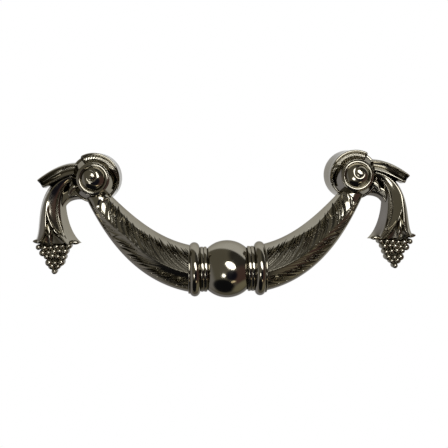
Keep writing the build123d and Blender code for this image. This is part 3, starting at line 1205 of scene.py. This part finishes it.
@dataclass(frozen=True)
class SoftBox:
    """Oval soft lamp: where it hangs, seen from the handle, its size in metres and how bright its face is."""

    name: str
    azimuth: float
    elevation: float
    turn: float
    width: float
    height: float
    radiance: float
    colour: str
    distance: float = 0.6

    def place(self, target: Vector) -> None:
        """Hangs the lamp so that it faces the target, with the power that gives its face the wanted level."""
        aside, above = radians(self.azimuth), radians(self.elevation)
        toward = Vector((np.sin(aside) * np.cos(above), -np.cos(aside) * np.cos(above), np.sin(above)))
        light = bpy.data.lights.new(self.name, "AREA")
        light.shape = "ELLIPSE"
        light.size, light.size_y = self.width, self.height
        light.energy = self.radiance * pi * self.width * self.height * pi / 4
        light.color = linear_colour(self.colour)[:3]
        lamp = bpy.data.objects.new(self.name, light)
        lamp.location = target + toward * self.distance
        facing = toward.to_track_quat("Z", "Y") @ Quaternion((0, 0, 1), radians(self.turn))
        lamp.rotation_euler = facing.to_euler()
        lamp.visible_camera = False
        bpy.context.scene.collection.objects.link(lamp)


@dataclass(frozen=True)
class Surroundings:
    """Part of the studio that the finish mirrors: its colour, and the axis about which it fades in."""

    name: str
    colour: str
    axis: tuple[float, float, float]
    faint: float
    full: float


@dataclass
class Studio:
    """White paper behind and above the handle, a dim room in front, soft lamps, a pale floor and the camera."""

    paper: str = "#ffffff"
    room: str = "#7d796d"
    layers: tuple[Surroundings, ...] = (
        Surroundings("dim_right", "#474540", (0.7, -0.3, 0.65), 0.66, 0.9),
        Surroundings("warm_right", "#67504b", (0.78, -0.51, -0.35), 0.75, 0.95),
        Surroundings("pale_left", "#a9a7a9", (-1.0, 0.3, -0.3), 0.66, 0.94),
        Surroundings("dark_below", "#1d1d21", (-0.2, -0.3, -0.93), 0.78, 0.88),
        Surroundings("olive_below", "#a39d86", (0.6, 0.1, -0.8), 0.89, 0.99),
        Surroundings("dark_front", "#22212c", (0.27, -0.89, -0.35), 0.88, 0.96),
        Surroundings("shaded_paper", "#c5c5d0", (0.0, 1.0, 0.0), 0.5, 0.66),
        Surroundings("lit_paper", "#ffffff", (0.43, 1.0, 0.6), 0.56, 0.7),
    )
    floor_colour: str = "#e4e3df"
    floor_drop: float = 0.2
    floor_radius: float = 0.28
    floor_white: float = 0.85
    floor_rings: int = 12
    floor_around: int = 96
    frame_pixels: float = 448.0
    focal_pixels: float = 998.0
    sensor: float = 36.0
    target: tuple[float, float, float] = (-0.0005, -0.012, -0.0176)
    distance: float = 0.372
    azimuth: float = 2.66
    elevation: float = 3.64
    roll: float = -0.7
    lamps: tuple[SoftBox, ...] = (
        SoftBox("key", 12, 17, -35, 0.48, 0.27, 7.0, "#ffffff"),
        SoftBox("low", -16, -22, 0, 0.14, 0.14, 6.0, "#ffffff"),
        SoftBox("warm", 29, -46, 20, 0.16, 0.07, 2.0, "#ffedc4"),
    )

    def build(self) -> None:
        """Sets up world, floor, lamps and camera."""
        bpy.context.scene.view_settings.view_transform = "Standard"
        self.world()
        self.floor()
        for lamp in self.lamps:
            lamp.place(Vector(self.target))
        self.camera()

    def world(self) -> None:
        """Paper where the direction lies behind or above, a dim room elsewhere; the camera sees only paper.

        A direction's product with an axis, taken through a soft step, is the share of the light that lies
        there.
        """
        world = bpy.data.worlds.new("studio")
        world.use_nodes = True
        bpy.context.scene.world = world
        tree = world.node_tree
        tree.nodes.clear()
        direction = add_node(tree, "ShaderNodeTexCoord").outputs["Generated"]
        rays = add_node(tree, "ShaderNodeLightPath").outputs
        colour = linear_colour(self.room)
        for layer in self.layers:
            product = add_node(
                tree, "ShaderNodeVectorMath", {"operation": "DOT_PRODUCT"}, {0: direction, 1: layer.axis}
            ).outputs["Value"]
            share = add_node(
                tree,
                "ShaderNodeMapRange",
                {"interpolation_type": "SMOOTHSTEP"},
                {0: product, 1: layer.faint, 2: layer.full},
            ).outputs[0]
            colour = add_node(
                tree,
                "ShaderNodeMix",
                {"data_type": "RGBA", "label": layer.name},
                {0: share, 6: colour, 7: linear_colour(layer.colour)},
            ).outputs[2]
        seen = add_node(
            tree,
            "ShaderNodeMath",
            {"operation": "MAXIMUM"},
            {0: rays["Is Camera Ray"], 1: rays["Is Transmission Ray"]},
        ).outputs[0]
        shown = add_node(
            tree, "ShaderNodeMix", {"data_type": "RGBA"}, {0: seen, 6: colour, 7: linear_colour(self.paper)}
        ).outputs[2]
        light = add_node(tree, "ShaderNodeBackground", inputs={"Color": shown, "Strength": 1.0}).outputs[0]
        add_node(tree, "ShaderNodeOutputWorld", inputs={"Surface": light})

    def floor(self) -> None:
        """Pale round floor below the handle: flat rings of growing radius, not mirrored in the finish."""
        radius = np.linspace(0.01, 1, self.floor_rings)[:, None] * self.floor_radius
        angle = np.linspace(0, 2 * pi, self.floor_around, endpoint=False)
        level = np.full((self.floor_rings, self.floor_around), -self.floor_drop)
        points = np.stack([radius * np.cos(angle), radius * np.sin(angle), level], axis=-1)
        index = np.arange(level.size).reshape(level.shape)
        ahead = np.roll(index, -1, axis=1)
        quads = np.stack([index[:-1], index[1:], ahead[1:], ahead[:-1]], axis=-1).reshape(-1, 4)
        mesh = bpy.data.meshes.new("floor")
        mesh.from_pydata(points.reshape(-1, 3).tolist(), [], [index[0].tolist(), *quads.tolist()])
        mesh.materials.append(self.floor_board())
        floor = bpy.data.objects.new("floor", mesh)
        floor.visible_glossy = False
        bpy.context.scene.collection.objects.link(floor)

    def floor_board(self) -> bpy.types.Material:
        """Matt pale board that the camera sees nearly white, with the handle's shadow left on it."""
        material = bpy.data.materials.new("matt_pale_board")
        material.use_nodes = True
        tree = material.node_tree
        tree.nodes.clear()
        rays = add_node(tree, "ShaderNodeLightPath").outputs
        pale = linear_colour(self.floor_colour)
        board = add_node(tree, "ShaderNodeBsdfDiffuse", inputs={"Color": pale}).outputs[0]
        white = add_node(tree, "ShaderNodeEmission", inputs={"Color": linear_colour(self.paper)}).outputs[0]
        share = add_node(
            tree, "ShaderNodeMath", {"operation": "MULTIPLY"}, {0: rays["Is Camera Ray"], 1: self.floor_white}
        ).outputs[0]
        surface = add_node(tree, "ShaderNodeMixShader", inputs={0: share, 1: board, 2: white}).outputs[0]
        add_node(tree, "ShaderNodeOutputMaterial", inputs={"Surface": surface})
        return material

    def camera(self) -> None:
        """Camera before the handle, a little above and left of it, turned by azimuth, elevation and roll."""
        aside, below, roll = radians(self.azimuth), radians(self.elevation), radians(self.roll)
        ahead = Vector((np.sin(aside) * np.cos(below), np.cos(aside) * np.cos(below), -np.sin(below)))
        level = Vector((np.cos(aside), -np.sin(aside), 0.0))
        upright = level.cross(ahead)
        right = level * np.cos(roll) + upright * np.sin(roll)
        up = upright * np.cos(roll) - level * np.sin(roll)
        lens = bpy.data.cameras.new("camera")
        lens.sensor_width = self.sensor
        lens.lens = self.focal_pixels / self.frame_pixels * self.sensor
        camera = bpy.data.objects.new("camera", lens)
        turn = Matrix((right, up, -ahead)).transposed().to_4x4()
        camera.matrix_world = Matrix.Translation(Vector(self.target) - ahead * self.distance) @ turn
        bpy.context.scene.collection.objects.link(camera)
        bpy.context.scene.camera = camera


def main() -> None:
    """Builds the handle piece by piece, then the studio."""
    logging.basicConfig(level=logging.INFO, format="%(name)s %(message)s")
    foundry = Foundry(BlackNickel())
    centre = BallAndCollars()
    centre.build(foundry)
    FeatherArm(centre.collar_middle).build(foundry)
    ScrollPost().build(foundry)
    Leaves().build(foundry)
    BeadCluster().build(foundry)
    Studio().build()


if __name__ == "__main__":
    main()
